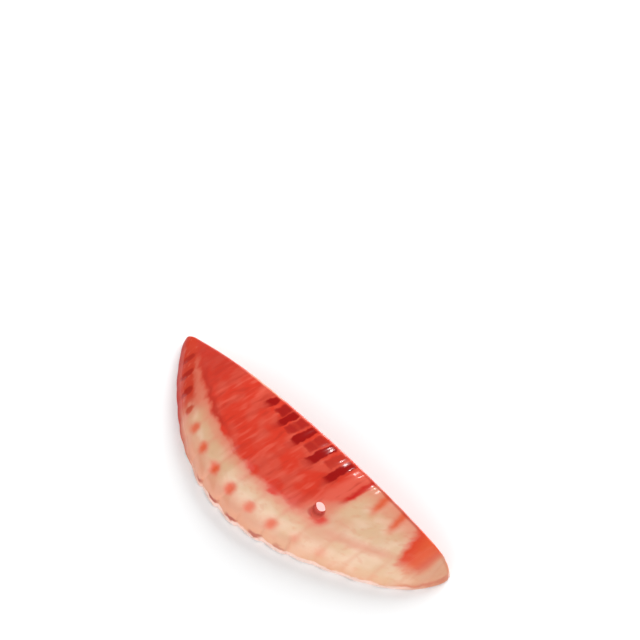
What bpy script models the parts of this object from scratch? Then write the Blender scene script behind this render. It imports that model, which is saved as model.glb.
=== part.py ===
"""A sawn and drilled slice of a spiny oyster valve, modelled at its real size in metres.

The slice lies on the valve's natural margin, and the saw cut stands along its back as a low arch. X runs
along the saw cut, the margin bulges towards -Y and Z is up. The wall is one grid rolled round its own
section: over the ribbed outer face, round the rim and back along the inner face. It is then sawn and drilled.
"""

from math import acos, cos, floor, pi, radians, sin, sqrt

import bmesh
import bpy
from mathutils import Matrix, Vector
from mathutils.geometry import interpolate_bezier

MM = 0.001

# Driving dimensions, in millimetres and degrees.
# The natural margin seen from above, from the left tip to the right one, before the saw cut along y = 0.
MARGIN = (
    (-1.4, 2.0),
    (-0.8, -0.7),
    (0.6, -3.0),
    (5.7, -8.3),
    (13.8, -13.8),
    (24.6, -16.6),
    (34.0, -15.1),
    (45.3, -10.6),
    (50.7, -6.7),
    (53.4, -1.9),
    (53.7, 1.4),
)
SLICE_CENTRE = (26.25, -8.3)  # the middle of the slice's plan, which becomes the object's origin

FIRST_GROOVE = 8.5  # distance along the margin to groove 0
NARROW_PITCH = 2.9  # rib to rib at the left tip
WIDE_PITCH = 4.15  # rib to rib from the middle on
WIDENING_RIBS = 8.0  # the ribs over which the pitch grows
RIB_RANGE = (-2.5, 15.9)
RIB_HEIGHT = 0.5
RIB_FULLNESS = 1.5
RIB_ROUNDNESS = 0.8  # below 1 the ribs are full and the grooves sharp

LEAN_LEFT = 20.0  # how far the ribs lean towards +X, at groove 0
LEAN_PER_RIB = -0.5
LEFT_FAN_RIB = 0.0  # beyond these ribs they fan out round the two tips
RIGHT_FAN_RIB = 13.0
LEFT_FAN = 4.0
RIGHT_FAN = -3.0
LEFT_FAN_POWER = 1.5
RIGHT_FAN_POWER = 2.5

ARC_REACH = 30.0  # half width of the valve's vault
ARC_RISE = 9.5
ARC_START = 8.0  # the vault's own angle at the rim
VAULT_TOP = 1.07
VAULT_MIDDLE_RIB = 7.0
VAULT_HALF_RIBS = 10.0
VAULT_FULLNESS = 2.6

RIM_HEIGHT = 1.0  # the rounded pale rim under the ribs
RIM_ROUND = 0.9
RIM_LIFT = 0.25  # the rim's lower edge is rounded too
RIM_UNDERCUT = 0.3
WALL_INWARD = 1.1  # from the outer face to the inner one: this far in along the rib
WALL_DOWN = 1.5  # and this far down
CRENULE_HEIGHT = 0.5  # notches under the inner margin, one under each rib
CRENULE_REACH = 3.0
CRENULE_SHARPNESS = 3.0

SAW_LEAN = 8.5  # the cut leans over the slice
SAW_OVERRUN = 1.0

HOLE_RIB = 9.72
HOLE_GROWTH = 30.9
BORE_RADIUS = 1.0
SINK_RADIUS = 1.25
SINK_DEPTH = 0.3
DRILL_REACH = 5.0
DRILL_SIDES = 24

COLUMNS_PER_RIB = 6
FACE_ROWS = 12
ROW_CROWDING = 1.5  # above 1 the rows crowd towards the rim
CURVE_STEPS = 24
NORMAL_STEP = 0.01
WELD = 1e-7


def margin_line():
    """The margin as a fine polyline through its named points, with the distance run at each."""
    knots = [Vector(p) for p in MARGIN]
    knots = [2 * knots[0] - knots[1]] + knots + [2 * knots[-1] - knots[-2]]
    line = [knots[1]]
    for before, start, end, after in zip(knots, knots[1:], knots[2:], knots[3:]):
        span = (end - start).length
        leave = (end - before).normalized() * span / 3
        arrive = (after - start).normalized() * span / 3
        line += interpolate_bezier(start, start + leave, end - arrive, end, CURVE_STEPS)[1:]
    runs = [0.0]
    for a, b in zip(line, line[1:]):
        runs.append(runs[-1] + (b - a).length)
    return line, runs


MARGIN_LINE, MARGIN_RUNS = margin_line()


def margin_at(rib):
    """The point on the margin where a rib coordinate ends. Grooves stand at whole numbers."""
    share = min(max(rib / WIDENING_RIBS, 0.0), 1.0)
    widening = WIDENING_RIBS * (share**3 - share**4 / 2) + max(rib - WIDENING_RIBS, 0.0)
    run = FIRST_GROOVE + NARROW_PITCH * rib + (WIDE_PITCH - NARROW_PITCH) * widening
    run = min(max(run, 0.0), MARGIN_RUNS[-1] * 0.9999)
    k = next(i for i, r in enumerate(MARGIN_RUNS) if r > run) - 1
    part = (run - MARGIN_RUNS[k]) / (MARGIN_RUNS[k + 1] - MARGIN_RUNS[k])
    return MARGIN_LINE[k].lerp(MARGIN_LINE[k + 1], part)


def lean_at(rib):
    """The direction in which a rib runs in from the margin, turned from +Y towards +X."""
    left = LEFT_FAN * max(LEFT_FAN_RIB - rib, 0.0) ** LEFT_FAN_POWER
    right = RIGHT_FAN * max(rib - RIGHT_FAN_RIB, 0.0) ** RIGHT_FAN_POWER
    return radians(LEAN_LEFT + LEAN_PER_RIB * rib + left + right)


def fullness_at(rib):
    """How high the vault stands over a rib: low at both tips."""
    return VAULT_TOP * (1 - abs((rib - VAULT_MIDDLE_RIB) / VAULT_HALF_RIBS) ** VAULT_FULLNESS)


def vault(rib, growth):
    """A point on the crests of the outer face. Growth is an angle that runs back from the margin at 0."""
    start = radians(ARC_START)
    inward = ARC_REACH * (cos(start) - cos(growth + start))
    foot = margin_at(rib)
    lean = lean_at(rib)
    rim = RIM_HEIGHT * sqrt(1 - (1 - min(inward / RIM_ROUND, 1.0)) ** 2)
    height = RIM_LIFT + rim + fullness_at(rib) * ARC_RISE * (sin(growth + start) - sin(start))
    return Vector((foot.x + inward * sin(lean), foot.y + inward * cos(lean), height))


def outward(rib, growth):
    """The outer face's normal, from two short steps along it."""
    here = vault(rib, growth)
    along = vault(rib + NORMAL_STEP, growth) - vault(rib - NORMAL_STEP, growth)
    back = vault(rib, growth + NORMAL_STEP * 0.1) - here
    return along.cross(back).normalized()


def crest(rib):
    """1 on top of a rib and 0 in a groove."""
    return abs(sin(pi * rib)) ** RIB_ROUNDNESS


def last_growth(rib):
    """How far back the wall runs at a rib: a little past the saw cut."""
    inward = (SAW_OVERRUN - margin_at(rib).y) / cos(lean_at(rib))
    start = radians(ARC_START)
    return acos(cos(start) - inward / ARC_REACH) - start


def outer_point(rib, growth):
    """The ribbed outer face. The ribs are lower round the tips."""
    relief = RIB_HEIGHT * min(RIB_FULLNESS * fullness_at(rib), 1.0)
    return vault(rib, growth) - outward(rib, growth) * relief * (1 - crest(rib))


def inner_point(rib, growth):
    """The smooth inner face, with a notch under each rib where it meets the rim."""
    outside = vault(rib, growth)
    lean = lean_at(rib)
    near_rim = max(1 - (outside - vault(rib, 0.0)).length / CRENULE_REACH, 0.0)
    notch = CRENULE_HEIGHT * crest(rib) ** CRENULE_SHARPNESS * near_rim
    return Vector((
        outside.x + WALL_INWARD * sin(lean),
        outside.y + WALL_INWARD * cos(lean),
        max(outside.z - WALL_DOWN, notch),
    ))


def rim_foot(rib):
    """Where the rim stands on the table, just under the rounded edge."""
    under = outer_point(rib, 0.0) - outward(rib, 0.0) * RIM_UNDERCUT
    return Vector((under.x, under.y, 0.0))


def section_point(rib, row):
    """One point of the wall's section: outer face, foot of the rim, inner face, and back to the start."""
    rows = FACE_ROWS
    if row == rows + 1:
        return rim_foot(rib)
    if row == 2 * rows + 3:
        row = 0
    outside = row <= rows
    step = rows - row if outside else row - rows - 2
    growth = last_growth(rib) * (step / rows) ** ROW_CROWDING
    if outside:
        return outer_point(rib, growth)
    return inner_point(rib, growth)


def new_collection(name):
    collection = bpy.data.collections.new(name)
    bpy.context.scene.collection.children.link(collection)
    return collection


def build_wall(collection):
    """The whole wall, before it is sawn."""
    first, last = RIB_RANGE
    columns = floor((last - first) * COLUMNS_PER_RIB)
    ring = 2 * FACE_ROWS + 3
    bm = bmesh.new()
    bmesh.ops.create_grid(bm, x_segments=columns, y_segments=ring, size=1.0)
    centre = Vector((*SLICE_CENTRE, 0.0))
    for vertex in bm.verts:
        column = round((vertex.co.x + 1) / 2 * columns)
        row = round((vertex.co.y + 1) / 2 * ring)
        rib = first + column / COLUMNS_PER_RIB
        vertex.co = (section_point(rib, row) - centre) * MM
    bmesh.ops.remove_doubles(bm, verts=bm.verts, dist=WELD)
    bmesh.ops.holes_fill(bm, edges=[e for e in bm.edges if e.is_boundary], sides=0)
    bmesh.ops.triangulate(bm, faces=[f for f in bm.faces if len(f.verts) > 4])
    bmesh.ops.recalc_face_normals(bm, faces=bm.faces)
    mesh = bpy.data.meshes.new("shell")
    bm.to_mesh(mesh)
    bm.free()
    shell = bpy.data.objects.new("shell", mesh)
    collection.objects.link(shell)
    return shell


def to_cutter(cutter, collection):
    for owner in cutter.users_collection:
        owner.objects.unlink(cutter)
    collection.objects.link(cutter)
    cutter.hide_render = True
    cutter.display_type = "WIRE"


def saw_block(collection):
    """The block of valve that the saw takes off, behind the leaning cut."""
    width, depth, height = 80.0, 30.0, 60.0
    turn = Matrix.Rotation(radians(SAW_LEAN), 4, "X")
    start = Vector((0.0, -SLICE_CENTRE[1], 0.0))
    place = Matrix.Translation(start * MM) @ turn @ Matrix.Translation((0, depth / 2 * MM, 0))
    bpy.ops.mesh.primitive_cube_add(size=1.0)
    block = bpy.context.object
    block.name = "saw_block"
    block.data.transform(place @ Matrix.Diagonal((width * MM, depth * MM, height * MM, 1.0)))
    to_cutter(block, collection)
    return block


def drill(collection):
    """The drill's bore and its short countersink, square to the outer face."""
    growth = radians(HOLE_GROWTH)
    axis = outward(HOLE_RIB, growth)
    face = vault(HOLE_RIB, growth) - Vector((*SLICE_CENTRE, 0.0))
    turn = axis.to_track_quat("Z", "Y").to_matrix().to_4x4()
    bpy.ops.mesh.primitive_cylinder_add(
        vertices=DRILL_SIDES, radius=BORE_RADIUS * MM, depth=2 * DRILL_REACH * MM
    )
    bore = bpy.context.object
    bore.name = "drill_bore"
    bore.data.transform(Matrix.Translation(face * MM) @ turn)
    flare = (SINK_RADIUS - BORE_RADIUS) / SINK_DEPTH
    bpy.ops.mesh.primitive_cone_add(
        vertices=DRILL_SIDES,
        radius1=(BORE_RADIUS - flare * SINK_DEPTH) * MM,
        radius2=(SINK_RADIUS + flare * SINK_DEPTH) * MM,
        depth=3 * SINK_DEPTH * MM,
    )
    sink = bpy.context.object
    sink.name = "drill_sink"
    sink.data.transform(Matrix.Translation((face - axis * SINK_DEPTH / 2) * MM) @ turn)
    for cutter in (bore, sink):
        to_cutter(cutter, collection)
    return bore, sink


def cut(shell, cutter):
    modifier = shell.modifiers.new(cutter.name, "BOOLEAN")
    modifier.operation = "DIFFERENCE"
    modifier.solver = "EXACT"
    modifier.object = cutter


def shell_material():
    """Polished shell: coral red over cream, glossy from tumbling."""
    material = bpy.data.materials.new("polished spiny oyster shell")
    material.use_nodes = True
    shader = material.node_tree.nodes["Principled BSDF"]
    shader.inputs["Base Color"].default_value = (0.73, 0.27, 0.17, 1.0)
    shader.inputs["Roughness"].default_value = 0.25
    shader.inputs["Metallic"].default_value = 0.0
    return material


def main():
    for thing in list(bpy.data.objects):
        bpy.data.objects.remove(thing, do_unlink=True)
    parts = new_collection("spiny oyster shell")
    cutters = new_collection("cutters")
    shell = build_wall(parts)
    shell.data.materials.append(shell_material())
    cut(shell, saw_block(cutters))
    for cutter in drill(cutters):
        cut(shell, cutter)
    shell.data.shade_smooth()
    shell.data.set_sharp_from_angle(angle=radians(40))


main()
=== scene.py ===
"""A polished slice of spiny oyster shell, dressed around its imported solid, on a plain pale floor.

The fine shell follows the same growth rule as the solid: a margin line, ribs that run in from it, and a
vault over them. Geometry Nodes raise the ribs, growth lines and rim notches. Its colour is laid out in the
shell's own coordinates, which are ribs counted along the margin and growth in millimetres back from it.
"""

from math import cos, pi, radians, sin, tan

import bmesh
import bpy
import numpy as np
from mathutils import Matrix, Vector
from mathutils.geometry import interpolate_bezier


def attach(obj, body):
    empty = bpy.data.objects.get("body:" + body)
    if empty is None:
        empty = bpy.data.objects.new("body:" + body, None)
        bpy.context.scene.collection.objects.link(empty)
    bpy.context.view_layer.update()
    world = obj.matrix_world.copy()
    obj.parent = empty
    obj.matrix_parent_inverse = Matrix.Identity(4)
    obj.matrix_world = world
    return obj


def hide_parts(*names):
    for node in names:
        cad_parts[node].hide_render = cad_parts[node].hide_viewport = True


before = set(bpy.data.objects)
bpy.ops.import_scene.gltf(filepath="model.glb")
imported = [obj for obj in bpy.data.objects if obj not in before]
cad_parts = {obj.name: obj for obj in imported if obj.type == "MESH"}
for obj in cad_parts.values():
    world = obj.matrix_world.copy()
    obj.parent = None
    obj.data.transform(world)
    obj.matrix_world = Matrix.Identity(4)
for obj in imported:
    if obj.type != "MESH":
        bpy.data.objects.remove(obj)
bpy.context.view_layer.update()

bl_info = {
    "name": "Spiny oyster shell slice",
    "version": (1, 0, 0),
    "blender": (4, 5, 0),
    "location": "View3D > Sidebar > Shell",
    "description": "Adds a sawn, drilled and polished slice of a spiny oyster valve",
    "category": "Add Mesh",
}

MM = 0.001

# The valve's plan and vault, in millimetres and degrees. The solid follows the same rule. The fine shell is
# a little fuller over the vault and at the right tip, because it is then rounded off.
MARGIN = (
    (-1.4, 2.0),
    (-0.8, -0.7),
    (0.6, -3.0),
    (5.7, -8.3),
    (13.8, -13.8),
    (24.6, -16.6),
    (34.0, -15.1),
    (45.3, -10.6),
    (50.9, -6.7),
    (53.55, -2.4),
    (53.85, 1.4),
)
SLICE_CENTRE = (26.25, -8.3)  # the middle of the slice's plan, which becomes the object's origin
FIRST_GROOVE = 8.5  # distance along the margin to groove 0
NARROW_PITCH = 2.9  # rib to rib at the left tip
WIDE_PITCH = 4.15  # rib to rib from the middle on
WIDENING_RIBS = 8.0  # the ribs over which the pitch grows
LEAN_LEFT = 20.0  # how far the ribs lean towards +X, at groove 0
LEAN_PER_RIB = -0.5
LEFT_FAN_RIB = 0.0  # beyond these ribs they fan out round the two tips
RIGHT_FAN_RIB = 13.0
LEFT_FAN = 4.0
RIGHT_FAN = -3.0
LEFT_FAN_POWER = 1.5
RIGHT_FAN_POWER = 2.5
ARC_REACH = 30.0  # half width of the valve's vault
ARC_RISE = 9.5
ARC_START = 8.0  # the vault's own angle at the rim
VAULT_TOP = 1.085
VAULT_MIDDLE_RIB = 7.0
VAULT_HALF_RIBS = 10.0
VAULT_FULLNESS = 2.6
RIM_HEIGHT = 1.0  # the rounded pale rim under the ribs
RIM_ROUND = 0.9
RIM_LIFT = 0.25  # the rim's lower edge is rounded too
RIM_UNDERCUT = 0.3
WALL_INWARD = 1.1  # from the outer face to the inner one: this far in along the rib
WALL_DOWN = 1.5  # and this far down
SAW_LEAN = 8.5  # the cut leans over the slice

# The saw cut and the drilled hole, placed a little off the solid's.
SAW_PAST = 0.15  # the cut stands this far past the solid's, before its edges are rounded
HOLE_RIB = 9.7
HOLE_INWARD = 6.25  # how far in from the margin the drill went through
BORE_RADIUS = 0.88  # of the drill itself; its edge is broken out wider
SINK_RADIUS = 1.2
SINK_DEPTH = 0.45
DRILL_TILT = 30.0  # the drill was held off square by this much
DRILL_TOWARDS = (0.6, -1.0, 0.0)
DRILL_REACH = 6.0  # how far the cutter runs below the face
FLARE_END = 1.6  # the broken-out edge keeps widening past the face, so that it is cut clear
FLARE_STEPS = 12
DRILL_SIDES = 96

# Details that only the fine shell has.
LEFT_ROUND = 2.4  # the tips are rounded off by tumbling
RIGHT_ROUND = 1.7
EDGE_ROUND = 0.35  # and so are the edges of the saw cut
POLISH_WIDTH = 2.6  # how far from the cut the polished face starts to fall
RELIEF_FULLNESS = 1.5  # the relief fades at the tips, where the vault falls below 1 over this
CUT_BLEND = 1.5  # this near the cut the relief turns into the saw's plane
HOLLOW_BLEND = 0.25  # softens the step from the flat inner margin to the hollow
FOOT_FADE = 1.2  # the rim's scallops run out this far in, under the slice
FOOT_DEPTH = 0.4  # the rim's lowest line lies this share of the way through the wall
LATE_GROWTH = 0.42  # growth bands run out at the rim, this far for each rib past the eighth
LATE_GROWTH_RIB = 8.0
WAVE_LENGTH = 5.0  # of the hand-polished unevenness

# Near the tips the section is narrow, and these shares of its width limit its foot, rim and rounded edges.
FOOT_SHARE = 0.4
RIM_SHARE = 0.5
ROUND_SHARE = 0.25
CUT_SHARE = 0.3

# The fineness of the mesh, and of the searches that lay it out.
RIM_ROWS = 10
FACE_ROWS = 64
CORNER_ROWS = 4
CUT_ROWS = 7
FOOT_ROWS = 4
INNER_ROWS = 34
THINNEST = 0.06  # the width of the section at either tip
RIB_RANGE = (-2.9, 16.4)  # the ribs that are searched for the tips
TIP_SAMPLES = 4000
LONGEST_REACH = 22.0  # no rib runs further in than this
HALVINGS = 40
PATH_STEPS = 60
SLOPE_STEP = 0.004
CURVE_STEPS = 24
FEWEST_FACES = 1000
MOST_FACES = 200000
SHARP_EDGE = 60.0  # edges that turn by more than this are shaded sharp

# The pattern, in ribs and in millimetres of growth behind the margin.
NOISE_RIB = 3.4  # a rib's width in the noises, so that their spots are round
FINE_SCALE = 0.9  # spots in a millimetre
BROAD_SCALE = 0.35
STREAKS_PER_RIB = 4.6
STREAKS_PER_MM = 0.3  # along the rib, so each streak is about 3 mm long
SHEETS = 9.0  # that show in the sawn wall
DOT_GROWTH = 4.05  # the dots stand this far behind the margin
STROKE_SHIFT = 0.95  # and the left flank's strokes this much nearer to it
DOT_LENGTH = 0.74  # half of a dot's length
STROKE_LENGTH = 0.55  # what half of a stroke has more
DOT_WIDTH = 0.58  # the height of a rib's wave at a dot's sides
DOT_POWER = 2.4  # above 2 the dots are rather square
DOT_STRENGTHS = (
    (-0.7, 0.0), (-0.3, 0.8), (2.0, 0.9), (4.0, 0.75), (6.0, 1.0), (7.4, 0.9), (8.0, 0.7), (9.0, 0.75),
    (9.6, 0.25), (11.2, 0.2), (11.6, 0.0),
)

# Growth at the red zone's edge by rib, its last rib by growth, and the dark spots on its edge.
RED_EDGE = ((-1.0, 3.8), (1.0, 5.3), (2.4, 6.3), (3.7, 7.0), (5.9, 7.75), (7.7, 7.95), (10.0, 8.0))
RED_END = ((7.5, 9.2), (9.5, 9.35), (11.5, 9.7), (13.0, 10.0), (18.0, 10.03))
RED_SPOTS = ((4.95, 7.9), (7.0, 8.6), (8.1, 8.0))

# How far the dark patches reach down from the cut, how strong they are, and where the tip's patch ends.
PATCH_LENGTHS = ((4.0, 1.5), (5.0, 2.0), (6.0, 3.1), (7.0, 3.9), (8.0, 4.25), (9.0, 4.65), (10.0, 5.0))
PATCH_STRENGTHS = ((4.4, 0.0), (4.7, 1.0), (9.15, 1.0), (9.4, 0.0), (10.0, 0.0))
TIP_PATCH_END = ((12.6, 8.0), (13.1, 7.4), (13.6, 6.8), (14.1, 6.2), (14.8, 6.0))
CHIP = (HOLE_RIB + 0.34, 8.5)  # the red chip beside the hole
DARK_RING = (HOLE_RIB + 0.02, 9.25)  # and the darker ring round it

# Each light's place seen from the slice, its distance and its width in metres.
LIGHTS = {
    "right_softbox": ((0.8, -0.4, 0.45), 0.9, 1.1),
    "front_softbox": ((-0.1, -0.9, 0.45), 0.9, 1.2),
    "left_softbox": ((-0.6, 0.75, 0.35), 0.8, 0.5),
    "back_softbox": ((-0.15, 0.9, 0.4), 0.8, 0.7),
    "overhead_lamp": ((-0.2, 0.085, 0.97), 0.5, 0.012),
}
FLOOR_WIDTH = 6.0
FLOOR_DROP = 0.00002  # the floor lies just below the shell, so that they don't share a plane


def linear(code):
    """An sRGB hex colour as the linear values that Blender's sockets hold."""
    parts = [int(code[i:i + 2], 16) / 255 for i in (1, 3, 5)]
    return (*(p / 12.92 if p <= 0.04045 else ((p + 0.055) / 1.055) ** 2.4 for p in parts), 1.0)


def colour(name, description, code):
    """A colour property that opens on an sRGB hex value."""
    return bpy.props.FloatVectorProperty(
        name=name, description=description, subtype="COLOR", size=4, min=0.0, max=1.0, default=linear(code)
    )


def size(name, description, millimetres):
    """A length property given in millimetres."""
    return bpy.props.FloatProperty(
        name=name, description=description, unit="LENGTH", precision=5, default=millimetres * MM
    )


def light_share(name, description, default):
    """A light's strength, as a share of what would light white paper fully."""
    return bpy.props.FloatProperty(name=name, description=description, default=default, min=0.0)


class ShellRelief(bpy.types.PropertyGroup):
    """Sizes of the relief that grows on the valve."""

    rib_height: size("Rib height", "From groove to crest on the polished face", 0.1)
    scallop_depth: size("Scallop depth", "What the grooves gain in depth at the rim", 0.05)
    arch_height: size("Arch height", "How far the rim stands off the floor under each rib", 0.6)
    ridge_height: size("Ridge height", "The three fine ridges on each rib", 0.018)
    tooth_length: size("Tooth length", "How far the rim steps out before the end of each groove", 0.4)
    polish_drop: size("Polish drop", "How far the face is rounded down to the saw cut", 0.14)
    line_spacing: size("Line spacing", "From one growth line to the next", 0.7)
    line_height: size("Line height", "Height of the growth lines", 0.03)
    unevenness: size("Unevenness", "Hand-polished waviness of the face", 0.08)
    notch_height: size("Notch height", "Notches under the inner margin", 0.5)
    rib_fullness: bpy.props.FloatProperty(
        name="Rib fullness", description="Below 1 the ribs are full and the grooves sharp", default=1.3
    )
    seed: bpy.props.FloatProperty(name="Seed", description="Moves the growth lines", default=3.0)
    columns_per_rib: bpy.props.IntProperty(
        name="Columns per rib", description="Fineness of the mesh across a rib", default=32, min=6
    )


# The Geometry Nodes' inputs, and the property that each is filled from.
RELIEF_INPUTS = {
    name.replace("_", " ").capitalize(): name
    for name in ShellRelief.__annotations__
    if name != "columns_per_rib"
}
WALL_NUMBERS = ("rib", "growth", "inward", "to_cut", "relief", "depth")


class ShellColours(bpy.types.PropertyGroup):
    """Pigments of the valve, as polished."""

    coral: colour("Coral", "The red zone behind the pale margin", "#da3a24")
    coral_light: colour("Light coral", "Paler parts of the red zone", "#da503c")
    coral_crest: colour("Coral crest", "Lighter streaks along the red ribs", "#e66450")
    # Coral dusk also paints shade over the red zone's left end near the cut.
    coral_dusk: colour("Coral dusk", "The grooves of the red zone", "#be3020")
    # Dark coral also paints shade along the foot of the left flank.
    coral_dark: colour("Dark coral", "Squares and fading ends beside the dark patches", "#b4241a")
    coral_deep: colour("Deep coral", "Dark patches along the saw cut", "#a00600")
    scarlet: colour("Scarlet", "The bright groove at the end of the red zone", "#cc1c16")
    flank: colour("Flank", "The red left flank", "#cc3a20")
    cream: colour("Cream", "The pale zone", "#deb692")
    cream_light: colour("Light cream", "Paler parts of the pale zone", "#e8c4a6")
    cream_green: colour("Green cream", "The pale zone beside the red", "#d8aa84")
    salmon: colour("Salmon", "The pale zone near the margin", "#dc9a7c")
    tip: colour("Tip", "The right tip beyond its red patch", "#d8987a")
    salmon_deep: colour("Deep salmon", "Round the dots and along the red edge", "#e08268")
    dot: colour("Dot", "Dots in the grooves of the pale zone", "#e05a34")
    dot_dark: colour("Dark dot", "Strokes in the grooves of the left flank", "#ac1a04")
    rim: colour("Rim", "The worn pale edge", "#f0d2c8")
    rim_end: colour("Rim end", "Where the grooves end at the rim", "#a8443a")
    ivory: colour("Ivory", "The flat inner margin", "#f2e2c8")
    hollow: colour("Hollow", "The inside, and the wall of the drilled hole", "#da5a48")


class StudioSettings(bpy.types.PropertyGroup):
    """Where the camera stands, and how bright the studio is."""

    azimuth: bpy.props.FloatProperty(
        name="Azimuth", description="Camera's turn round the slice", default=radians(47.3), subtype="ANGLE"
    )
    elevation: bpy.props.FloatProperty(
        name="Elevation", description="Camera's angle over the floor", default=radians(55.0), subtype="ANGLE"
    )
    distance: bpy.props.FloatProperty(
        name="Distance", description="From the camera to its aim", default=0.9, unit="LENGTH"
    )
    field: bpy.props.FloatProperty(
        name="Field", description="Width of the picture at its aim", default=90.9 * MM, unit="LENGTH"
    )
    aim: bpy.props.FloatVectorProperty(
        name="Aim", description="The point on the floor in the picture's middle",
        default=(-16.75 * MM, 23.98 * MM, 0.0), subtype="XYZ_LENGTH", unit="LENGTH",
    )
    paper: colour("Paper", "The floor", "#fcfcfc")
    surround: colour("Surround", "The faintly blue studio all round", "#f7fcff")
    sky: bpy.props.FloatProperty(name="Sky", description="Strength of the white surround", default=0.26)
    right_softbox: light_share("Right softbox", "Fills the shade at the right tip", 0.52)
    front_softbox: light_share("Front softbox", "Lights the margin's side", 0.86)
    left_softbox: light_share("Left softbox", "Lights the left flank", 0.31)
    back_softbox: light_share("Back softbox", "Lights the floor and the face from behind the cut", 1.25)
    overhead_lamp: light_share("Overhead lamp", "Small, for the glints along the cut", 0.06)


def add_node(tree, kind, inputs=None, **settings):
    """Adds one node, sets its options, and fills or links its inputs by name or number.

    An input is given as a plain value, as another node's socket, or as an Amount.
    """
    made = tree.nodes.new(kind)
    for name, value in settings.items():
        setattr(made, name, value)
    for key, value in (inputs or {}).items():
        value = getattr(value, "socket", value)
        if isinstance(value, bpy.types.NodeSocket):
            tree.links.new(value, made.inputs[key])
        else:
            made.inputs[key].default_value = value
    return made


def margin_line():
    """The margin's fine points and the distance run at each."""
    knots = [Vector(p) for p in MARGIN]
    knots = [2 * knots[0] - knots[1]] + knots + [2 * knots[-1] - knots[-2]]
    line = [knots[1]]
    for before, start, end, after in zip(knots, knots[1:], knots[2:], knots[3:]):
        span = (end - start).length
        leave = (end - before).normalized() * span / 3
        arrive = (after - start).normalized() * span / 3
        line += interpolate_bezier(start, start + leave, end - arrive, end, CURVE_STEPS)[1:]
    points = np.array([p[:] for p in line])
    steps = np.hypot(*np.diff(points, axis=0).T)
    return points, np.concatenate(([0.0], np.cumsum(steps)))


MARGIN_POINTS, MARGIN_RUNS = margin_line()


def margin_at(rib):
    """x and y on the margin where rib coordinates end. Grooves stand at whole numbers."""
    share = np.clip(rib / WIDENING_RIBS, 0.0, 1.0)
    widening = WIDENING_RIBS * (share**3 - share**4 / 2) + np.maximum(rib - WIDENING_RIBS, 0.0)
    run = FIRST_GROOVE + NARROW_PITCH * rib + (WIDE_PITCH - NARROW_PITCH) * widening
    return (
        np.interp(run, MARGIN_RUNS, MARGIN_POINTS[:, 0]),
        np.interp(run, MARGIN_RUNS, MARGIN_POINTS[:, 1]),
    )


def lean_at(rib):
    """How far each rib leans towards +X, in radians."""
    left = LEFT_FAN * np.maximum(LEFT_FAN_RIB - rib, 0.0) ** LEFT_FAN_POWER
    right = RIGHT_FAN * np.maximum(rib - RIGHT_FAN_RIB, 0.0) ** RIGHT_FAN_POWER
    return np.radians(LEAN_LEFT + LEAN_PER_RIB * rib + left + right)


def fullness_at(rib):
    """The vault's height over each rib, as a share of the valve's arc."""
    return VAULT_TOP * (1 - np.abs((rib - VAULT_MIDDLE_RIB) / VAULT_HALF_RIBS) ** VAULT_FULLNESS)


def outer_height(rib, inward):
    """The height of the outer face, over its rounded rim."""
    start = radians(ARC_START)
    angle = np.arccos(np.clip(cos(start) - inward / ARC_REACH, -1.0, 1.0))
    rim = RIM_HEIGHT * np.sqrt(1 - (1 - np.clip(inward / RIM_ROUND, 0.0, 1.0)) ** 2)
    return RIM_LIFT + rim + fullness_at(rib) * ARC_RISE * (np.sin(angle) - sin(start))


def inner_height(rib, inward):
    """The hollow, softened where it meets the flat inner margin."""
    height = outer_height(rib, np.maximum(inward - WALL_INWARD, 0.0)) - WALL_DOWN
    return (height + np.sqrt(height**2 + HOLLOW_BLEND**2)) / 2


def place(rib, inward, height):
    """Points of the valve from rib, distance in from the margin, and height, in millimetres."""
    x, y = margin_at(rib)
    lean = lean_at(rib)
    return np.stack((x + inward * np.sin(lean), y + inward * np.cos(lean), height + 0 * x), axis=-1)


def past_saw(points):
    """How far points stand past the saw cut and the rounding of the tips. Inside it is negative."""
    x, y, z = np.moveaxis(points, -1, 0)
    past = y + z * tan(radians(SAW_LEAN)) - SAW_PAST
    for radius, inset in (
        (LEFT_ROUND, x - MARGIN_POINTS[:, 0].min()),
        (RIGHT_ROUND, MARGIN_POINTS[:, 0].max() - x),
    ):
        corner = np.clip(radius - inset, 0.0, radius)
        past = past + radius - np.sqrt(radius**2 - corner**2)
    return past


def reach(rib, height_of):
    """How far in from the margin a face runs before the saw cut, for each rib."""
    low, high = np.zeros_like(rib), np.full_like(rib, LONGEST_REACH)
    for _ in range(HALVINGS):
        middle = (low + high) / 2
        outside = past_saw(place(rib, middle, height_of(rib, middle))) > 0
        high = np.where(outside, middle, high)
        low = np.where(outside, low, middle)
    return low


def rib_span():
    """The first and last rib coordinate that the saw leaves, where the section has some width."""
    ribs = np.linspace(*RIB_RANGE, TIP_SAMPLES)
    wide = ribs[reach(ribs, outer_height) > THINNEST]
    return wide.min(), wide.max()


def outward(rib, inward):
    """The outer face's normal."""
    step = SLOPE_STEP
    ahead = place(rib, inward + step, outer_height(rib, inward + step))
    here = place(rib, inward, outer_height(rib, inward))
    along = place(rib + step, inward, outer_height(rib + step, inward))
    along -= place(rib - step, inward, outer_height(rib - step, inward))
    normal = np.cross(along, ahead - here)
    return normal / np.linalg.norm(normal, axis=-1, keepdims=True)


def blend(start, corner, end, shares):
    """Rows of a rounded corner."""
    return [start * (1 - t) ** 2 + 2 * corner * t * (1 - t) + end * t**2 for t in shares]


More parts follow.
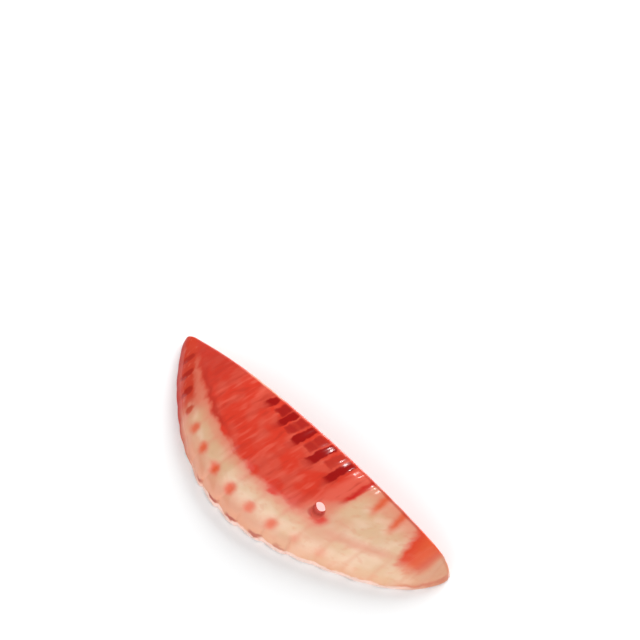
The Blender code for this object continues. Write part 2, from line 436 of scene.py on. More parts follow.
def wall_rows(ribs):
    """The wall's section at every rib, row by row round the ring, with what each row needs later.

    Rows run over the outer face from the saw cut to the rim, under the rim, along the inner face and back
    across the saw cut. Each row gives its points, their distance in from the margin, their share of the
    outer relief, and their depth in the wall, which is 0 on the outer face and 1 on the inner one.
    """
    outer_reach, inner_reach = reach(ribs, outer_height), reach(ribs, inner_height)
    foot = np.minimum(RIM_UNDERCUT, inner_reach * FOOT_SHARE)
    rim_width = np.minimum(RIM_ROUND, outer_reach * RIM_SHARE)
    round_out = np.minimum(EDGE_ROUND, outer_reach * ROUND_SHARE)
    round_in = np.minimum(EDGE_ROUND, (inner_reach - foot) * ROUND_SHARE)
    outer_corner = place(ribs, outer_reach, outer_height(ribs, outer_reach))
    inner_corner = place(ribs, inner_reach, inner_height(ribs, inner_reach))
    thick = np.linalg.norm(inner_corner - outer_corner, axis=-1)
    share = np.minimum(EDGE_ROUND / np.maximum(thick, 1e-6), CUT_SHARE)
    outer_face_end = outer_corner + (inner_corner - outer_corner) * share[:, None]
    inner_face_end = inner_corner + (outer_corner - inner_corner) * share[:, None]
    rows = []

    def row(points, inward, relief, depth):
        rows.append((points, inward + 0 * ribs, relief + 0 * ribs, depth + 0 * ribs))

    last = outer_reach - round_out
    start = place(ribs, last, outer_height(ribs, last))
    shares = np.linspace(1.0, 0.0, CORNER_ROWS + 2)[:-1]
    for t, points in zip(shares, blend(start, outer_corner, outer_face_end, shares)):
        row(points, outer_reach - round_out * (1 - t) ** 2, 1.0 - share * t**2, share * t**2)
    for t in np.linspace(1.0, 0.0, FACE_ROWS, endpoint=False):
        inward = rim_width + (last - rim_width) * t
        row(place(ribs, inward, outer_height(ribs, inward)), inward, 1.0, 0.0)
    for t in np.linspace(pi / 2, 0.0, RIM_ROWS):
        inward = rim_width * (1 - cos(t))
        row(place(ribs, inward, outer_height(ribs, inward)), inward, 1.0, 0.0)
    for t in np.linspace(0.0, pi / 2, FOOT_ROWS + 1)[1:]:
        inward = foot * (1 - cos(t))
        row(place(ribs, inward, RIM_LIFT * (1 - sin(t))), inward, 1.0, FOOT_DEPTH * sin(t))
    inner_last = inner_reach - round_in
    for t in np.linspace(0.0, 1.0, INNER_ROWS)[1:]:
        inward = foot + (inner_last - foot) * t
        fade = np.clip(1 - (inward - foot) / FOOT_FADE, 0.0, 1.0)
        depth = 1 - (1 - FOOT_DEPTH) * fade**3
        row(place(ribs, inward, inner_height(ribs, inward)), inward, fade**2 * (3 - 2 * fade), depth)
    start = place(ribs, inner_last, inner_height(ribs, inner_last))
    shares = np.linspace(0.0, 1.0, CORNER_ROWS + 2)[1:]
    for t, points in zip(shares, blend(start, inner_corner, inner_face_end, shares)):
        row(points, inner_reach - round_in * (1 - t) ** 2, 0.0, 1 - share * t**2)
    for t in np.linspace(0.0, 1.0, CUT_ROWS + 1)[1:-1]:
        points = inner_face_end + (outer_face_end - inner_face_end) * t
        row(points, outer_reach, t * (1 - share), 1 - share + (2 * share - 1) * t)
    return rows


def lift_at(ribs, inward, outer_reach, under):
    """The way the relief rises.

    It rises square to the face, level where the row lies under the slice, and in the saw's plane at the cut.
    """
    normal = outward(ribs, np.minimum(inward, outer_reach) * (not under))
    if under:
        normal = normal * (1.0, 1.0, 0.0)
    plane = np.array((0.0, cos(radians(SAW_LEAN)), sin(radians(SAW_LEAN))))
    flat = normal - (normal @ plane)[:, None] * plane
    flat /= np.linalg.norm(flat, axis=-1, keepdims=True)
    near = np.clip(1 - (outer_reach - inward) / CUT_BLEND, 0.0, 1.0)[:, None] * (not under)
    mixed = normal * (1 - near) + flat * near
    return mixed / np.linalg.norm(mixed, axis=-1, keepdims=True)


def smooth_wall(columns_per_rib):
    """The wall with no relief yet, as a closed mesh with its own coordinates kept on the points."""
    first, last = rib_span()
    ribs = np.linspace(first, last, int((last - first) * columns_per_rib))
    rows = wall_rows(ribs)
    outer_reach = reach(ribs, outer_height)
    points, inward, relief, depth = (np.stack(kind) for kind in zip(*rows))
    count, width = inward.shape
    under = CORNER_ROWS + 1 + FACE_ROWS + RIM_ROWS
    lift = np.stack([
        lift_at(ribs, distance, outer_reach, under <= number < under + FOOT_ROWS + INNER_ROWS - 1)
        for number, distance in enumerate(inward)
    ])
    fine = np.linspace(0.0, 1.0, PATH_STEPS)[:, None] * outer_reach
    track = place(ribs + 0 * fine, fine, outer_height(ribs + 0 * fine, fine))
    steps = np.linalg.norm(np.diff(track, axis=0), axis=-1)
    path = np.concatenate((np.zeros((1, width)), np.cumsum(steps, axis=0)))
    growth = np.stack([np.interp(inward[:, c], fine[:, c], path[:, c]) for c in range(width)], axis=1)
    growth += LATE_GROWTH * np.maximum(ribs - LATE_GROWTH_RIB, 0.0)
    points = (points - (*SLICE_CENTRE, 0.0)).reshape(-1, 3) * MM
    index = np.arange(count * width).reshape(count, width)
    after = np.roll(index, -1, axis=0)
    quads = np.stack((index[:, :-1], after[:, :-1], after[:, 1:], index[:, 1:]), axis=-1).reshape(-1, 4)
    mesh = bpy.data.meshes.new("wall")
    mesh.from_pydata(points, [], quads)
    relief = relief * np.minimum(RELIEF_FULLNESS * fullness_at(ribs), 1.0)
    numbers = (ribs + 0 * inward, growth, inward, outer_reach - inward, relief, depth)
    for name, values in zip(WALL_NUMBERS, numbers):
        kept = mesh.attributes.new(name, "FLOAT", "POINT")
        kept.data.foreach_set("value", values.astype(np.float32).ravel())
    kept = mesh.attributes.new("lift", "FLOAT_VECTOR", "POINT")
    kept.data.foreach_set("vector", lift.astype(np.float32).ravel())
    bm = bmesh.new()
    bm.from_mesh(mesh)
    bmesh.ops.holes_fill(bm, edges=[e for e in bm.edges if e.is_boundary], sides=0)
    bmesh.ops.recalc_face_normals(bm, faces=bm.faces)
    bm.to_mesh(mesh)
    bm.free()
    return mesh


class Amount:
    """A number that varies over a surface. Arithmetic on it adds Math nodes to its tree."""

    def __init__(self, tree, socket):
        self.tree = tree
        self.socket = socket

    def maths(self, operation, *others):
        """Applies one operation of the Math node to this amount and to others, or to plain numbers."""
        made = add_node(self.tree, "ShaderNodeMath", dict(enumerate((self, *others))), operation=operation)
        return Amount(self.tree, made.outputs[0])

    def __add__(self, other):
        return self.maths("ADD", other)

    def __sub__(self, other):
        return self.maths("SUBTRACT", other)

    def __rsub__(self, other):
        return self * -1.0 + other

    def __mul__(self, other):
        return self.maths("MULTIPLY", other)

    def __truediv__(self, other):
        return self.maths("DIVIDE", other)

    def __pow__(self, power):
        return self.maths("POWER", power)

    def __abs__(self):
        return self.maths("ABSOLUTE")


def ramp(value, low, high):
    """A soft step from 0 at low to 1 at high, or falling where low is the larger."""
    inputs = {"Value": value, "From Min": low, "From Max": high}
    made = add_node(value.tree, "ShaderNodeMapRange", inputs, interpolation_type="SMOOTHSTEP")
    return Amount(value.tree, made.outputs[0])


def window(value, low, high, soft):
    """1 between low and high, with soft edges of that width."""
    return ramp(value, low - soft / 2, low + soft / 2) * ramp(value, high + soft / 2, high - soft / 2)


def curve(value, points, top=1.0):
    """A smooth curve through (place, height) points, level beyond them. Heights run from 0 to the top."""
    first, last = points[0][0], points[-1][0]
    share = add_node(value.tree, "ShaderNodeMapRange", {"Value": value, "From Min": first, "From Max": last})
    made = add_node(value.tree, "ShaderNodeFloatCurve", {"Value": share.outputs[0]})
    line = made.mapping.curves[0]
    places = [((x - first) / (last - first), y / top) for x, y in points]
    line.points[0].location = places[0]
    line.points[1].location = places[-1]
    for x, y in places[1:-1]:
        line.points.new(x, y)
    made.mapping.update()
    return Amount(value.tree, made.outputs[0]) * top


def uneven(tree, vector, scale, detail=2.0, roughness=0.5):
    """A random amount from -0.5 to 0.5 that changes smoothly from place to place."""
    inputs = {"Vector": vector, "Scale": scale, "Detail": detail, "Roughness": roughness}
    return Amount(tree, add_node(tree, "ShaderNodeTexNoise", inputs).outputs[0]) - 0.5


def crest(rib):
    """0 in each groove and 1 on the crest of each rib."""
    return abs((rib * pi).maths("SINE"))


def relief_tree(material):
    """Geometry Nodes that raise the ribs, their fine ridges, the growth lines and the notches below."""
    tree = bpy.data.node_groups.new("shell relief", "GeometryNodeTree")
    tree.is_modifier = True
    tree.interface.new_socket("Geometry", in_out="INPUT", socket_type="NodeSocketGeometry")
    for name in RELIEF_INPUTS:
        tree.interface.new_socket(name, in_out="INPUT", socket_type="NodeSocketFloat")
    tree.interface.new_socket("Geometry", in_out="OUTPUT", socket_type="NodeSocketGeometry")
    given = add_node(tree, "NodeGroupInput").outputs
    sizes = {name: Amount(tree, given[name]) for name in RELIEF_INPUTS}
    rib, growth, inward, to_cut, share, depth = (
        Amount(tree, add_node(tree, "GeometryNodeInputNamedAttribute", {"Name": name}).outputs[0])
        for name in WALL_NUMBERS
    )
    lift = add_node(
        tree, "GeometryNodeInputNamedAttribute", {"Name": "lift"}, data_type="FLOAT_VECTOR"
    ).outputs[0]

    # Ribs are low over the polished face, lower still on the left flank, and gain a little at the rim.
    wave = crest(rib)
    low = ramp(rib, 0.0, 4.0) * 0.65 + 0.35
    rim = sizes["Scallop depth"] * ramp(inward, 3.2, 0.0) * ramp(rib, 3.0, 5.5) * ramp(rib, 15.5, 12.0)
    ribs = (wave ** sizes["Rib fullness"] - 1.0) * (sizes["Rib height"] * low + rim)

    # The rim of the middle ribs steps out towards the end of each groove, and falls back behind it.
    past_groove = rib.maths("FRACT")
    steps = ramp(past_groove, 0.1, 0.85) * ramp(past_groove, 1.0, 0.9)
    teeth = sizes["Tooth length"] * (steps * 0.65 + 0.35) * ramp(inward, 1.4, 0.3)
    teeth = teeth * window(rib, 5.3, 10.5, 1.4)

    # Three fine ridges stand on each rib.
    ridges = (rib * (6 * pi)).maths("COSINE") * 0.5 * sizes["Ridge height"]
    ridges = ridges * ramp(wave, 0.2, 0.6) * ramp(inward, 1.0, 5.0)

    # Growth lines are uneven low ridges along the margin.
    spot = {"X": rib * 0.4, "Y": growth * MM / sizes["Line spacing"], "Z": sizes["Seed"]}
    lines = uneven(tree, add_node(tree, "ShaderNodeCombineXYZ", spot).outputs[0], 1.0)

    # Hand polishing rounds the face down towards the saw cut, and leaves it slightly wavy.
    near_cut = (1.0 - to_cut.maths("MAXIMUM", 0.0) / POLISH_WIDTH).maths("MAXIMUM", 0.0)
    drop = sizes["Polish drop"] * near_cut * near_cut
    position = add_node(tree, "GeometryNodeInputPosition").outputs[0]
    waves = uneven(tree, position, 1 / (WAVE_LENGTH * MM), 1.0)
    total = ribs + teeth - ridges + lines * sizes["Line height"] - drop + waves * sizes["Unevenness"]
    raised = {0: lift, "Scale": total * share}
    offset = add_node(tree, "ShaderNodeVectorMath", raised, operation="SCALE").outputs[0]

    # One pointed notch stands under each rib's end, and a low arch carries its rim off the floor.
    notch = sizes["Notch height"] * wave**5.0 * window(inward, 0.9, 2.4, 1.2)
    notch = notch * ramp(depth, 0.5, 0.8) * ramp(to_cut, 0.5, 2.0)
    arch = sizes["Arch height"] * wave**1.5 * ramp(depth, 0.0, 0.15)
    arch = arch * ramp(inward, 1.6, 0.5) * ramp(rib, 3.2, 5.5) * ramp(rib, 15.5, 13.0)
    upward = add_node(tree, "ShaderNodeCombineXYZ", {"Z": notch.maths("MAXIMUM", arch)}).outputs[0]
    offset = add_node(tree, "ShaderNodeVectorMath", {0: offset, 1: upward}, operation="ADD").outputs[0]
    moved = {"Geometry": given["Geometry"], "Offset": offset}
    shape = add_node(tree, "GeometryNodeSetPosition", moved).outputs[0]

    # The shell's own coordinates are kept as two UV maps for its material.
    for name, one, two in (("rib_growth", rib, growth), ("depth_to_cut", depth, to_cut)):
        pair = add_node(tree, "ShaderNodeCombineXYZ", {"X": one, "Y": two}).outputs[0]
        shape = add_node(
            tree, "GeometryNodeStoreNamedAttribute", {"Geometry": shape, "Name": name, "Value": pair},
            data_type="FLOAT2", domain="CORNER",
        ).outputs[0]
    for name in (*WALL_NUMBERS, "lift"):
        shape = add_node(tree, "GeometryNodeRemoveAttribute", {"Geometry": shape, "Name": name}).outputs[0]
    smooth = add_node(tree, "GeometryNodeSetShadeSmooth", {"Geometry": shape}).outputs[0]
    real = add_node(tree, "GeometryNodeRealizeInstances", {"Geometry": smooth}).outputs[0]
    dressed = add_node(tree, "GeometryNodeSetMaterial", {"Geometry": real, "Material": material}).outputs[0]
    add_node(tree, "NodeGroupOutput", {"Geometry": dressed})
    return tree


def drill_cutter(material):
    """The drill's bore with its broken-out edge, as a turned profile, held off square to the face."""
    rib, inward = np.array([HOLE_RIB]), np.array([HOLE_INWARD])
    face = place(rib, inward, outer_height(rib, inward))[0] - (*SLICE_CENTRE, 0.0)
    axis = Vector(outward(rib, inward)[0])
    axis = Matrix.Rotation(radians(DRILL_TILT), 3, axis.cross(DRILL_TOWARDS)) @ axis
    flare = [
        (BORE_RADIUS + (SINK_RADIUS - BORE_RADIUS) * t**2, -SINK_DEPTH + 2 * SINK_DEPTH * t)
        for t in np.linspace(0.0, FLARE_END, FLARE_STEPS)
    ]
    profile = [(0.0, -DRILL_REACH), (BORE_RADIUS, -DRILL_REACH), *flare, (0.0, flare[-1][1])]
    bm = bmesh.new()
    points = [bm.verts.new((r * MM, 0.0, z * MM)) for r, z in profile]
    edges = [bm.edges.new(pair) for pair in zip(points, points[1:])]
    bmesh.ops.spin(bm, geom=points + edges, axis=(0, 0, 1), angle=2 * pi, steps=DRILL_SIDES, use_merge=True)
    bmesh.ops.remove_doubles(bm, verts=bm.verts, dist=1e-7)
    bmesh.ops.recalc_face_normals(bm, faces=bm.faces)
    mesh = bpy.data.meshes.new("drill")
    bm.to_mesh(mesh)
    bm.free()
    mesh.materials.append(material)
    cutter = bpy.data.objects.new("drill", mesh)
    bpy.context.scene.collection.objects.link(cutter)
    turned = axis.to_track_quat("Z", "Y").to_matrix().to_4x4()
    cutter.matrix_world = Matrix.Translation(Vector(face) * MM) @ turned
    return cutter


def to_mesh_object(source, name):
    """A new object at the origin with the evaluated shape of another, which is removed."""
    graph = bpy.context.evaluated_depsgraph_get()
    mesh = bpy.data.meshes.new_from_object(source.evaluated_get(graph))
    mesh.name = name
    bpy.data.objects.remove(source)
    made = bpy.data.objects.new(name, mesh)
    bpy.context.scene.collection.objects.link(made)
    return made


def paint_over(ground, *coats):
    """Lays coats of (colour, mask) over a ground. A Mix node's colours are its sockets 6 and 7."""
    for colour, mask in coats:
        made = add_node(mask.tree, "ShaderNodeMix", {0: mask, 6: ground, 7: colour}, data_type="RGBA")
        ground = made.outputs[2]
    return ground


def oval(across, along, centre, radii, soft):
    """A soft-edged oval at one place in two coordinates."""
    x = (across - centre[0]) / radii[0]
    y = (along - centre[1]) / radii[1]
    return ramp((x * x + y * y).maths("SQRT"), 1 + soft, 1 - soft)


def kept_pair(tree, name):
    """The two numbers that one of the shell's UV maps keeps."""
    both = add_node(tree, "ShaderNodeUVMap", uv_map=name).outputs[0]
    return [Amount(tree, one) for one in add_node(tree, "ShaderNodeSeparateXYZ", {0: both}).outputs[:2]]


class ShellField:
    """The shell's own coordinates in its material, with the noises that its patterns share.

    rib counts the grooves, growth is the band's distance behind the margin in millimetres, and path the true
    distance. depth is 0 on the outer face and 1 on the inner one, and to_cut the distance from the saw cut.
    The wandering ones are moved by fine noise. groove is 0 in a groove and 1 on a crest, past_groove is the
    share of a rib since its groove, streaks run along the ribs, and worn is 1 on the rim's bare edge.
    """

    def __init__(self, tree):
        self.rib, self.growth = kept_pair(tree, "rib_growth")
        self.depth, self.to_cut = kept_pair(tree, "depth_to_cut")
        self.path = (self.rib - LATE_GROWTH_RIB).maths("MAXIMUM", 0.0) * -LATE_GROWTH + self.growth
        even = {"X": self.rib * NOISE_RIB, "Y": self.growth}
        spots = add_node(tree, "ShaderNodeCombineXYZ", even).outputs[0]
        self.fine = uneven(tree, spots, FINE_SCALE, 2.0, 0.45)
        self.broad = uneven(tree, spots, BROAD_SCALE, 1.0)
        drawn_out = {"X": self.rib * STREAKS_PER_RIB, "Y": self.growth * STREAKS_PER_MM}
        self.streaks = uneven(tree, add_node(tree, "ShaderNodeCombineXYZ", drawn_out).outputs[0], 1.0, 1.0)
        self.wandering_rib = self.fine * 0.22 + self.rib
        self.wandering = self.fine * 1.1 + self.growth
        self.groove = crest(self.rib)
        self.wandering_groove = crest(self.wandering_rib)
        self.past_groove = (self.fine * 0.2 + self.rib).maths("FRACT")
        self.worn = ramp(self.fine * 1.2 + self.path, 0.7, 0.2)


def pale_ground(at, colours):
    """Cream between faint salmon grooves, salmon towards the margin and greener beside the red zone."""
    near_margin = ramp(at.wandering, 4.9, 2.4) * (ramp(at.rib, 11.0, 7.0) * 0.5 + 0.5)
    beside_red = window(at.wandering, 4.8, 7.6, 1.4) * window(at.rib, 2.8, 6.4, 1.5)
    seams = ramp(at.groove, 0.5, 0.0) * window(at.growth, 2.0, 8.5, 3.0)
    blotches = ramp(at.fine, 0.0, 0.2) * ramp(at.rib, 5.0, 8.0)
    off_line = abs(at.wandering - 4.0 + at.rib * -0.3)
    growth_line = ramp(off_line, 1.4, 0.0) * window(at.rib, 10.4, 13.0, 1.0)
    beside_hole = window(at.rib, 9.9, 11.0, 0.8) * window(at.growth, 5.0, 10.5, 2.0)
    return paint_over(
        colours.cream,
        (colours.cream_light, ramp(at.broad, -0.12, 0.16)),
        (colours.salmon, near_margin),
        (colours.cream_green, beside_red * 0.8),
        (colours.salmon, seams * 0.4),
        (colours.salmon, blotches * 0.4),
        (colours.salmon, growth_line * 0.9),
        (colours.salmon, beside_hole * 0.55),
    )


def red_flank(at, paint, colours):
    """The left flank, red from margin to cut, with a pale band and painted shade along its foot, paling to
    the right.
    """
    red = paint_over(colours.flank, (colours.salmon_deep, ramp(at.fine, 0.05, 0.25) * 0.3))
    leaning = at.growth * -0.08 + at.wandering_rib
    pale_band = window(at.wandering, 4.7, 6.4, 1.2) * window(at.wandering_rib, 0.3, 3.0, 1.0)
    # Painted shade: dark coral darkens the foot of the left flank, towards the margin.
    foot = ramp(at.path, 2.6, 0.4) * ramp(at.rib, 6.0, 2.5)
    return paint_over(
        paint,
        (red, ramp(leaning, 3.5, 1.9)),
        (colours.salmon_deep, pale_band * 0.6),
        # painted shade along the flank's foot
        (colours.coral_dark, foot * 0.85),
    )


def red_zone(at, paint, colours):
    """The red zone behind its wavering edge, up to the tenth groove, with light streaks along its ribs, and
    painted shade over its left end near the cut.
    """
    edge = curve(at.rib, RED_EDGE, top=10.0)
    behind = at.groove * -0.4 + (at.wandering - edge + 0.25)
    softness = ramp(at.growth, 14.5, 9.5) * 0.42 + 0.12
    before_end = (curve(at.growth, RED_END, top=10.0) - at.wandering_rib) / softness
    halo = ramp(behind, -2.4, 0.2) * ramp(at.wandering_rib, 10.45, 9.9) * ramp(at.rib, 1.8, 3.2)
    off_crest = abs(at.wandering_rib.maths("FRACT") - 0.5)
    # Painted shade: the red zone's left end, towards the cut, is darkened with coral dusk.
    painted_shade_left = ramp(at.to_cut, 7.0, 1.0) * ramp(at.rib, 4.0, 1.5)
    brink = window(behind, 0.3, 1.1, 0.8) * window(at.rib, 1.2, 5.2, 1.0)
    red = paint_over(
        colours.coral,
        (colours.coral_light, ramp(at.broad, -0.1, 0.15)),
        (colours.coral_crest, window(at.rib, 9.3, 9.9, 0.3) * 0.8),
        (colours.coral_crest, ramp(at.streaks, 0.0, 0.25) * ramp(at.growth, 7.0, 9.5) * 0.6),
        (colours.coral_dusk, ramp(at.streaks, -0.05, -0.25) * 0.5),
        (colours.coral_dusk, ramp(off_crest, 0.3, 0.5) * 0.25),
        # painted shade over the left end near the cut
        (colours.coral_dusk, painted_shade_left * 0.7),
        (colours.coral_dusk, brink * 0.8),
    )
    spots = [oval(at.wandering_rib, at.wandering, spot, radii=(0.2, 0.5), soft=0.6) for spot in RED_SPOTS]
    return paint_over(
        paint,
        (colours.salmon_deep, halo * 0.9),
        (red, ramp(behind, -0.5, 0.7) * ramp(before_end, -1.0, 0.8)),
        *((colours.coral, spot) for spot in spots),
    )


def groove_dots(at, paint, colours):
    """One dot in each groove, 4 mm behind the margin: dark strokes at the left, fading out at the right."""
    centre = ramp(at.rib, 4.5, 1.5) * -STROKE_SHIFT + DOT_GROWTH
    half_length = ramp(at.rib, 3.4, 1.5) * STROKE_LENGTH + DOT_LENGTH
    half_width = ramp(at.rib, 1.5, 4.0) * -0.04 + DOT_WIDTH
    off = abs(at.growth - centre) / half_length
    beside = at.groove / half_width
    far = at.fine * 0.8 + (off**DOT_POWER + beside**DOT_POWER) ** (1 / DOT_POWER)
    strength = curve(at.rib, DOT_STRENGTHS)
    halo = ramp(far, 2.1, 0.7) * strength * ramp(at.rib, 2.6, 3.6)
    dot = paint_over(colours.dot_dark, (colours.dot, ramp(at.rib, 2.2, 4.2)))
    softness = ramp(at.rib, 2.5, 4.0) * 0.4 + 0.25
    inside = ramp((0.95 - far) / softness, -1.0, 1.0) * strength
    return paint_over(paint, (colours.salmon_deep, halo * 0.75), (dot, inside))


def cut_patches(at, paint, colours):
    """Dark patches beside the grooves, down from the saw cut, and squares between them in two rows."""
    left = at.fine * 1.2 + curve(at.rib, PATCH_LENGTHS, top=5.0) - at.to_cut
    strength = curve(at.rib, PATCH_STRENGTHS)
    below_edge = ramp(at.to_cut, 0.25, 0.7)
    beside_groove = ramp(at.rib, 5.5, 7.5) * 0.11 + at.wandering_rib
    band = (beside_groove + 0.02).maths("PINGPONG", 0.5)
    fading_end = ramp(left, -1.5, 0.3) * ramp(band, 0.2, 0.08) * strength * below_edge
    patch = ramp(left, -0.5, 0.4) * ramp(band, 0.2, 0.12) * strength * below_edge
    end_groove = window(at.rib, 9.5, 10.5, 0.2) * ramp(at.wandering_groove, 0.52, 0.0)

    # The first squares, before the sixth rib, stand nearer to their groove, are shorter and darker.
    first = ramp(at.rib, 6.2, 5.9)
    beside = window(first * -0.14 + at.past_groove, 0.21, 0.62, 0.12)
    bottom = first * 1.1 + (at.fine + at.to_cut)
    squares = beside * window(at.rib, 5.15, 8.9, 0.3) * ramp(bottom, 3.5, 3.0) * below_edge
    off_gap = abs(at.to_cut - (at.fine + 1.95))
    in_rows = ramp(off_gap.maths("MAXIMUM", ramp(at.rib, 6.1, 5.9)), 0.05, 0.4)
    return paint_over(
        paint,
        (colours.coral_dark, fading_end * 0.7),
        (colours.coral_dusk, squares * ramp(at.rib, 9.5, 8.0)),
        (colours.coral_dark, squares * in_rows * ramp(at.rib, 8.8, 6.6)),
        (colours.coral_deep, squares * first * 0.6),
        (colours.coral_deep, patch),
        (colours.scarlet, end_groove * ramp(left, -1.2, 1.2)),
    )


def cut_edge(at, paint, colours):
    """Along the cut: flushed right ribs with two faint leaning grooves, a dusky very edge at the right, and
    a painted highlight along the very edge at the left.
    """
    flush = ramp(at.to_cut, 4.4, 0.4) * window(at.rib, 10.1, 13.0, 0.5)
    skewed = at.fine * 0.12 + ((3.4 - at.to_cut) * 0.07 + at.rib)
    faint = window(skewed, 10.5, 12.5, 0.2) * ramp(crest(skewed), 0.85, 0.0) * ramp(at.to_cut, 4.8, 2.0)
    return paint_over(
        paint,
        (colours.salmon_deep, flush * 0.75),
        (colours.dot, faint * 0.9),
        (colours.coral_dusk, ramp(at.to_cut, 0.7, 0.3) * ramp(at.rib, 9.0, 10.0) * 0.7),
        # Painted highlight: a pale salmon line along the cut's very edge over ribs 3 to 5.
        (colours.salmon, ramp(at.to_cut, 0.45, 0.15) * window(at.rib, 3.1, 5.2, 0.8) * 0.8),
    )


def tip_patch(at, paint, colours):
    """The red patch that reaches down from the cut near the right tip."""
    above = at.wandering - curve(at.rib, TIP_PATCH_END, top=10.0)
    left = (at.growth - 8.4) * 0.09 + at.wandering_rib - 13.15
    patch = ramp(left, -0.2, 0.15) * ramp(at.wandering_rib, 14.8, 14.3) * ramp(above, -1.8, 1.4)
    stripes = ramp(left, 0.6, 0.05).maths("MAXIMUM", window(at.wandering_rib, 14.0, 14.4, 0.3))
    red = paint_over(colours.dot, (colours.coral, stripes * 0.7))
    return paint_over(paint, (red, patch), (colours.tip, ramp(at.rib, 13.6, 14.8) * 0.75))


def drilled_edge(at, paint, colours):
    """A darker ring round the drilled hole, with a red chip towards the margin."""
    chip = oval(at.wandering_rib, at.wandering, CHIP, radii=(0.26, 0.9), soft=0.7)
    dark_ring = oval(at.rib, at.growth, DARK_RING, radii=(0.27, 1.0), soft=0.2)
    return paint_over(paint, (colours.coral, chip), (colours.coral_dusk, dark_ring * 0.8))


def worn_rim(at, paint, colours):
    """The pale worn rim, with pigment where each groove ends, and a brown line under the right tip."""
    brown = window(at.fine * 1.2 + at.path, 0.2, 1.0, 0.7) * ramp(at.rib, 13.4, 14.4)
    worn = at.worn * ramp(at.rib, 4.5, 6.5) * ramp(at.rib, 15.2, 13.6)
    line = window(at.fine * 1.5 + at.path, 0.45, 1.15, 0.5)
    before_groove = window(at.wandering_rib.maths("FRACT"), 0.5, 0.95, 0.2)
    ends = line * before_groove * window(at.rib, 5.7, 10.2, 0.4) * ramp(at.rib, 13.0, 7.0)
    return paint_over(
        paint,
        (colours.coral_dusk, brown * 0.4),
        (colours.rim, worn * 0.8),
        (colours.rim_end, ends * 0.9),
    )


OUTER_PATTERNS = (red_flank, red_zone, groove_dots, cut_patches, cut_edge, tip_patch, drilled_edge, worn_rim)


def sawn_wall(at, colours):
    """The sawn wall, pale behind its thin coloured skin, in fine sheets."""
    tree = at.depth.tree
    across = {"X": at.rib, "Y": at.depth * SHEETS}
    sheets = uneven(tree, add_node(tree, "ShaderNodeCombineXYZ", across).outputs[0], 1.0)
    return paint_over(colours.salmon, (colours.rim, ramp(sheets, -0.15, 0.15)))


def inner_face(at, colours):
    """A pale flat margin with a pink notch at each rib, and a coral hollow behind it."""
    in_notch = at.wandering_groove * 2.6 - at.path
    hollow = paint_over(colours.hollow, (colours.coral_dark, ramp(at.fine, 0.0, 0.2) * 0.5))
    return paint_over(
        colours.ivory,
        (colours.rim, ramp(at.fine, -0.05, 0.2)),
        (colours.dot, ramp(in_notch, -0.6, 0.3) * 0.7),
        (hollow, ramp(at.wandering, 7.5, 7.9)),
    )


def new_material(name, values):
    """A material with plain values on its shader's own sockets."""
    material = bpy.data.materials.new(name)
    material.use_nodes = True
    shader = material.node_tree.nodes["Principled BSDF"]
    for socket, value in values.items():
        shader.inputs[socket].default_value = value
    return material


def shell_material(colours):
    """Spiny oyster shell, sawn, tumbled and polished.

    The polish on the chalky wall gives small sharp glints over soft, slightly translucent pigment. Tumbling
    leaves the rim, the foot of the left flank and the right tip duller than the polished face.
    """
    material = new_material("tumbled spiny oyster shell", {
        "IOR": 1.55,
        "Subsurface Weight": 0.15,
        "Subsurface Radius": (1.0, 0.45, 0.3),
        "Subsurface Scale": 0.5 * MM,
    })
    tree = material.node_tree
    at = ShellField(tree)
    paint = pale_ground(at, colours)
    for pattern in OUTER_PATTERNS:
        paint = pattern(at, paint, colours)
    paint = paint_over(
        paint,
        (sawn_wall(at, colours), ramp(at.depth, 0.12, 0.3)),
        (inner_face(at, colours), ramp(at.depth, 0.88, 0.97)),
    )
    flank_foot = ramp(at.path, 3.2, 0.8) * ramp(at.rib, 6.0, 3.0)
    right_tip = ramp(at.rib, 12.8, 14.2) * 0.8
    dull = at.worn.maths("MAXIMUM", flank_foot.maths("MAXIMUM", right_tip))
    shader = tree.nodes["Principled BSDF"]
    tree.links.new(paint, shader.inputs["Base Color"])
    for name, polished, tumbled in (("Roughness", 0.14, 0.45), ("Specular IOR Level", 0.35, 0.1)):
        made = add_node(tree, "ShaderNodeMapRange", {"Value": dull, "To Min": polished, "To Max": tumbled})
        tree.links.new(made.outputs[0], shader.inputs[name])
    return material


def bore_material(colours):
    """Spiny oyster shell as the drill leaves it: coral, fine-ground, with hardly any gloss."""
    return new_material("drilled spiny oyster shell", {
        "Base Color": colours.hollow,
        "Roughness": 0.7,
        "Specular IOR Level": 0.25,
    })


class MESH_OT_add_shell_slice(bpy.types.Operator):
    """Add the sawn, drilled and polished slice of a spiny oyster valve"""

    bl_idname = "mesh.add_shell_slice"
    bl_label = "Add Shell Slice"
    bl_options = {"REGISTER", "UNDO"}

    def execute(self, context):
        relief, colours = context.scene.shell_relief, context.scene.shell_colours
        polished, drilled = shell_material(colours), bore_material(colours)
        wall = bpy.data.objects.new("wall", smooth_wall(relief.columns_per_rib))
        context.scene.collection.objects.link(wall)
        modifier = wall.modifiers.new("relief", "NODES")
        modifier.node_group = relief_tree(polished)
        for item in modifier.node_group.interface.items_tree:
            if item.in_out == "INPUT" and item.name in RELIEF_INPUTS:
                modifier[item.identifier] = getattr(relief, RELIEF_INPUTS[item.name])
        cutter = drill_cutter(drilled)
        drill = wall.modifiers.new("drill", "BOOLEAN")
        drill.object = cutter
        drill.operation = "DIFFERENCE"
        drill.solver = "EXACT"
        drill.material_mode = "TRANSFER"
        shell = to_mesh_object(wall, "shell_slice")
        bpy.data.objects.remove(cutter)
        shell.data.set_sharp_from_angle(angle=radians(SHARP_EDGE))
        if not FEWEST_FACES < len(shell.data.polygons) < MOST_FACES:
            raise RuntimeError("the shell slice has no sound mesh")
        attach(shell, "root")
        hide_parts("shell")
        return {"FINISHED"}


def floor_material(paper):
    """Matt white photographic paper: no gloss, so the floor stays plain."""
    return new_material("matt white background paper", {
        "Base Color": paper,
        "Roughness": 0.9,
        "Specular IOR Level": 0.2,
    })


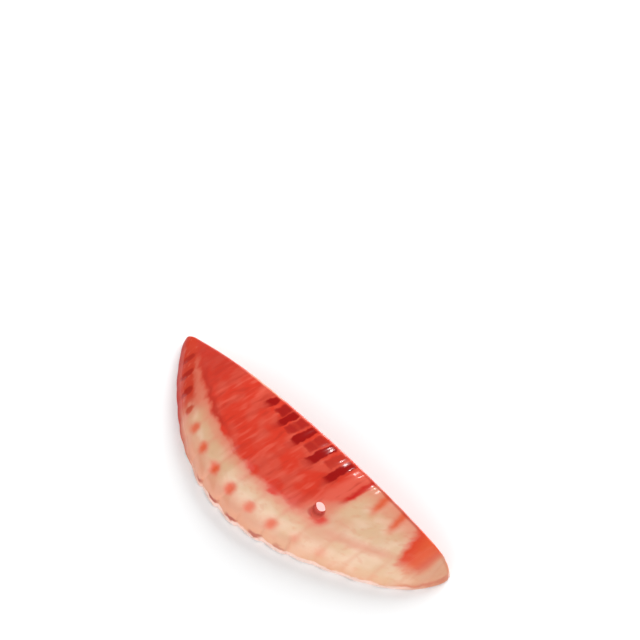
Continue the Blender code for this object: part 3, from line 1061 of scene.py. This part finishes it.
def add_light(name, towards, distance, width, strength):
    """A square light that faces the slice. At strength 1 it alone would light white paper fully."""
    data = bpy.data.lights.new(name, "AREA")
    data.size = width
    data.energy = strength * pi**2 * distance**2
    light = bpy.data.objects.new(name, data)
    bpy.context.scene.collection.objects.link(light)
    light.location = Vector(towards).normalized() * distance
    light.rotation_euler = light.location.to_track_quat("Z", "Y").to_euler()
    return light


class SCENE_OT_add_shell_stage(bpy.types.Operator):
    """Add the pale floor, the soft studio light and the camera"""

    bl_idname = "scene.add_shell_stage"
    bl_label = "Add Stage"
    bl_options = {"REGISTER", "UNDO"}

    def execute(self, context):
        studio = context.scene.shell_studio
        bpy.ops.mesh.primitive_plane_add(size=FLOOR_WIDTH, location=(0.0, 0.0, -FLOOR_DROP))
        floor = context.object
        floor.name = "floor"
        floor.data.materials.append(floor_material(studio.paper))
        world = bpy.data.worlds.new("white surround")
        world.use_nodes = True
        background = world.node_tree.nodes["Background"]
        background.inputs["Color"].default_value = studio.surround
        background.inputs["Strength"].default_value = studio.sky
        context.scene.world = world
        for name, (towards, distance, width) in LIGHTS.items():
            add_light(name, towards, distance, width, getattr(studio, name))
        aim = Vector(studio.aim)
        level = cos(studio.elevation)
        back = Vector((sin(studio.azimuth) * level, -cos(studio.azimuth) * level, sin(studio.elevation)))
        data = bpy.data.cameras.new("camera")
        data.lens = data.sensor_width * studio.distance / studio.field
        data.clip_start, data.clip_end = 0.01, 20.0
        camera = bpy.data.objects.new("camera", data)
        context.scene.collection.objects.link(camera)
        camera.location = aim + back * studio.distance
        camera.rotation_euler = (-back).to_track_quat("-Z", "Y").to_euler()
        context.scene.camera = camera
        context.scene.view_settings.view_transform = "Standard"
        return {"FINISHED"}


class VIEW3D_PT_shell(bpy.types.Panel):
    """Lists what makes the shell slice and its stage"""

    bl_label = "Shell Slice"
    bl_space_type = "VIEW_3D"
    bl_region_type = "UI"
    bl_category = "Shell"

    def draw(self, context):
        layout = self.layout
        for group in (context.scene.shell_relief, context.scene.shell_colours, context.scene.shell_studio):
            box = layout.box()
            for name in group.__annotations__:
                box.prop(group, name)
        layout.operator(MESH_OT_add_shell_slice.bl_idname)
        layout.operator(SCENE_OT_add_shell_stage.bl_idname)


CLASSES = (
    ShellRelief,
    ShellColours,
    StudioSettings,
    MESH_OT_add_shell_slice,
    SCENE_OT_add_shell_stage,
    VIEW3D_PT_shell,
)


def register():
    """Makes the classes known, and hangs their settings on the scene."""
    for made in CLASSES:
        bpy.utils.register_class(made)
    bpy.types.Scene.shell_relief = bpy.props.PointerProperty(type=ShellRelief)
    bpy.types.Scene.shell_colours = bpy.props.PointerProperty(type=ShellColours)
    bpy.types.Scene.shell_studio = bpy.props.PointerProperty(type=StudioSettings)


def unregister():
    """Takes away what register added."""
    del bpy.types.Scene.shell_studio
    del bpy.types.Scene.shell_colours
    del bpy.types.Scene.shell_relief
    for made in reversed(CLASSES):
        bpy.utils.unregister_class(made)


def main():
    """Builds the stage and the slice."""
    register()
    bpy.ops.scene.add_shell_stage()
    bpy.ops.mesh.add_shell_slice()


if __name__ == "__main__":
    main()
